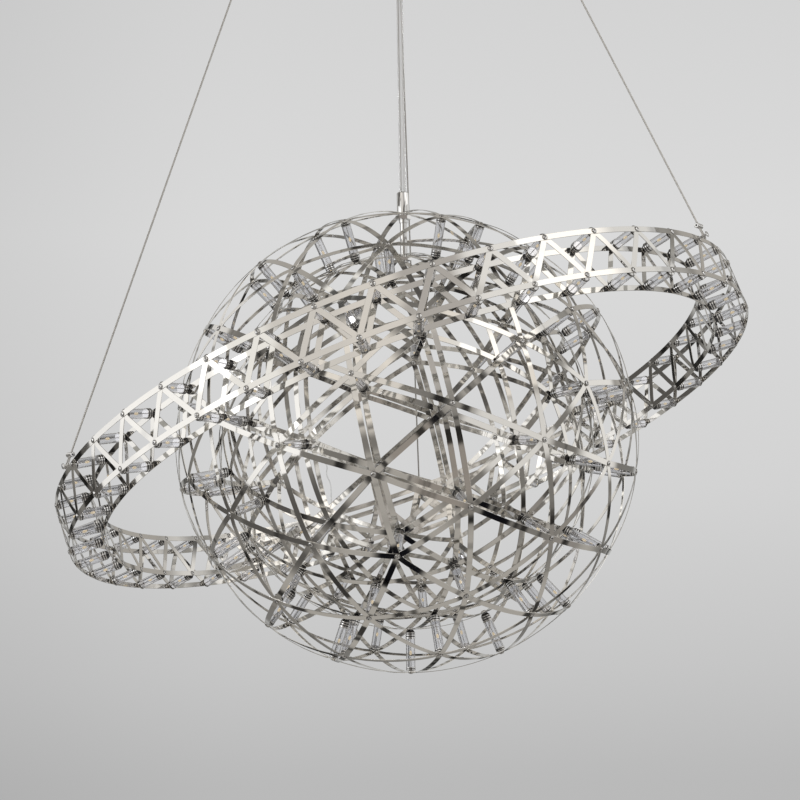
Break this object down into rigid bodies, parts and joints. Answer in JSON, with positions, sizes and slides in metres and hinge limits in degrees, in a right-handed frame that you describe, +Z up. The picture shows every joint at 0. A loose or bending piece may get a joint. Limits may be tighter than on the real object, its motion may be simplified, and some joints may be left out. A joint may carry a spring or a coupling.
{
  "type": "orb chandelier",
  "caption": "Ceiling chandelier: a double-shell lattice orb of polished strips and clear lamp tubes, hung inside a tilted truss ring on steel cables.",
  "frame": {"origin": "on the ceiling, in the middle of the ceiling bracket's upper face", "axes": "+Z up into the ceiling, +X to the viewer's right, +Y away from the viewer"},
  "size_m": [0.6434, 0.6664, 0.7715],
  "materials": {
    "lamp_glass": "clear tube with a faint blue cast",
    "polished_strip": "mirror-polished stainless steel",
    "clear_cord": "clear flexible jacket over two tinned cores",
    "steel_cable": "fine stranded steel",
    "polished_canopy": "mirror-polished stainless steel",
    "white_plastic": "moulded, fine texture",
    "clear_plastic": "natural nylon",
    "zinc_steel": "bright zinc plate",
    "turned_chrome": "turned and chromed",
    "led_amber": "phosphor dome of a warm white LED"
  },
  "bodies": {
    "canopy_and_ring": {"back_cable": "steel_cable", "cable_clamps": "lamp_glass", "cable_wire_loops": "steel_cable", "canopy_cover": "polished_canopy", "canopy_screws": "turned_chrome", "canopy_standoffs": "zinc_steel", "ceiling_bracket": "zinc_steel", "cord_grip": "turned_chrome", "cord_grip_nut": "zinc_steel", "gripper_bodies": "turned_chrome", "gripper_nuts": "zinc_steel", "led_driver": "white_plastic", "left_cable": "steel_cable", "right_cable": "steel_cable", "ring_hanger_studs": "turned_chrome", "ring_inner_lower_hoop": "polished_strip", "ring_inner_upper_hoop": "polished_strip", "ring_inner_webs": "polished_strip", "ring_lower_lamps": "lamp_glass", "ring_outer_lower_hoop": "polished_strip", "ring_outer_upper_hoop": "polished_strip", "ring_outer_webs": "polished_strip", "ring_upper_lamps": "lamp_glass", "terminal_block": "clear_plastic"},
    "cord": {"centre_cord": "clear_cord"},
    "orb": {"orb_inner_strips": "polished_strip", "orb_lamps": "lamp_glass", "orb_outer_strips": "polished_strip", "orb_stem": "turned_chrome", "orb_stem_nuts": "turned_chrome", "orb_top_barrel": "turned_chrome"},
    "left_plunger": {"left_gripper_plunger": "turned_chrome"},
    "right_plunger": {"right_gripper_plunger": "turned_chrome"},
    "back_plunger": {"back_gripper_plunger": "turned_chrome"}
  },
  "joints": [
    {"name": "orb_swing", "type": "hinge", "parent": "canopy_and_ring", "child": "cord", "pos_m": [0, 0, -0.0613], "axis": [1, 0, 0], "range_deg": [-5, 5]},
    {"name": "orb_turn", "type": "hinge", "parent": "cord", "child": "orb", "pos_m": [0, 0, -0.32], "axis": [0, 0, 1], "range_deg": [-180, 180]},
    {"name": "left_plunger_press", "type": "slide", "parent": "canopy_and_ring", "child": "left_plunger", "axis": [0, 0, 1], "range_m": [0, 0.002], "stiffness_N_per_m": 600, "springref_m": -0.002},
    {"name": "right_plunger_press", "type": "slide", "parent": "canopy_and_ring", "child": "right_plunger", "axis": [0, 0, 1], "range_m": [0, 0.002], "stiffness_N_per_m": 600, "springref_m": -0.002},
    {"name": "back_plunger_press", "type": "slide", "parent": "canopy_and_ring", "child": "back_plunger", "axis": [0, 0, 1], "range_m": [0, 0.002], "stiffness_N_per_m": 600, "springref_m": -0.002}
  ]
}
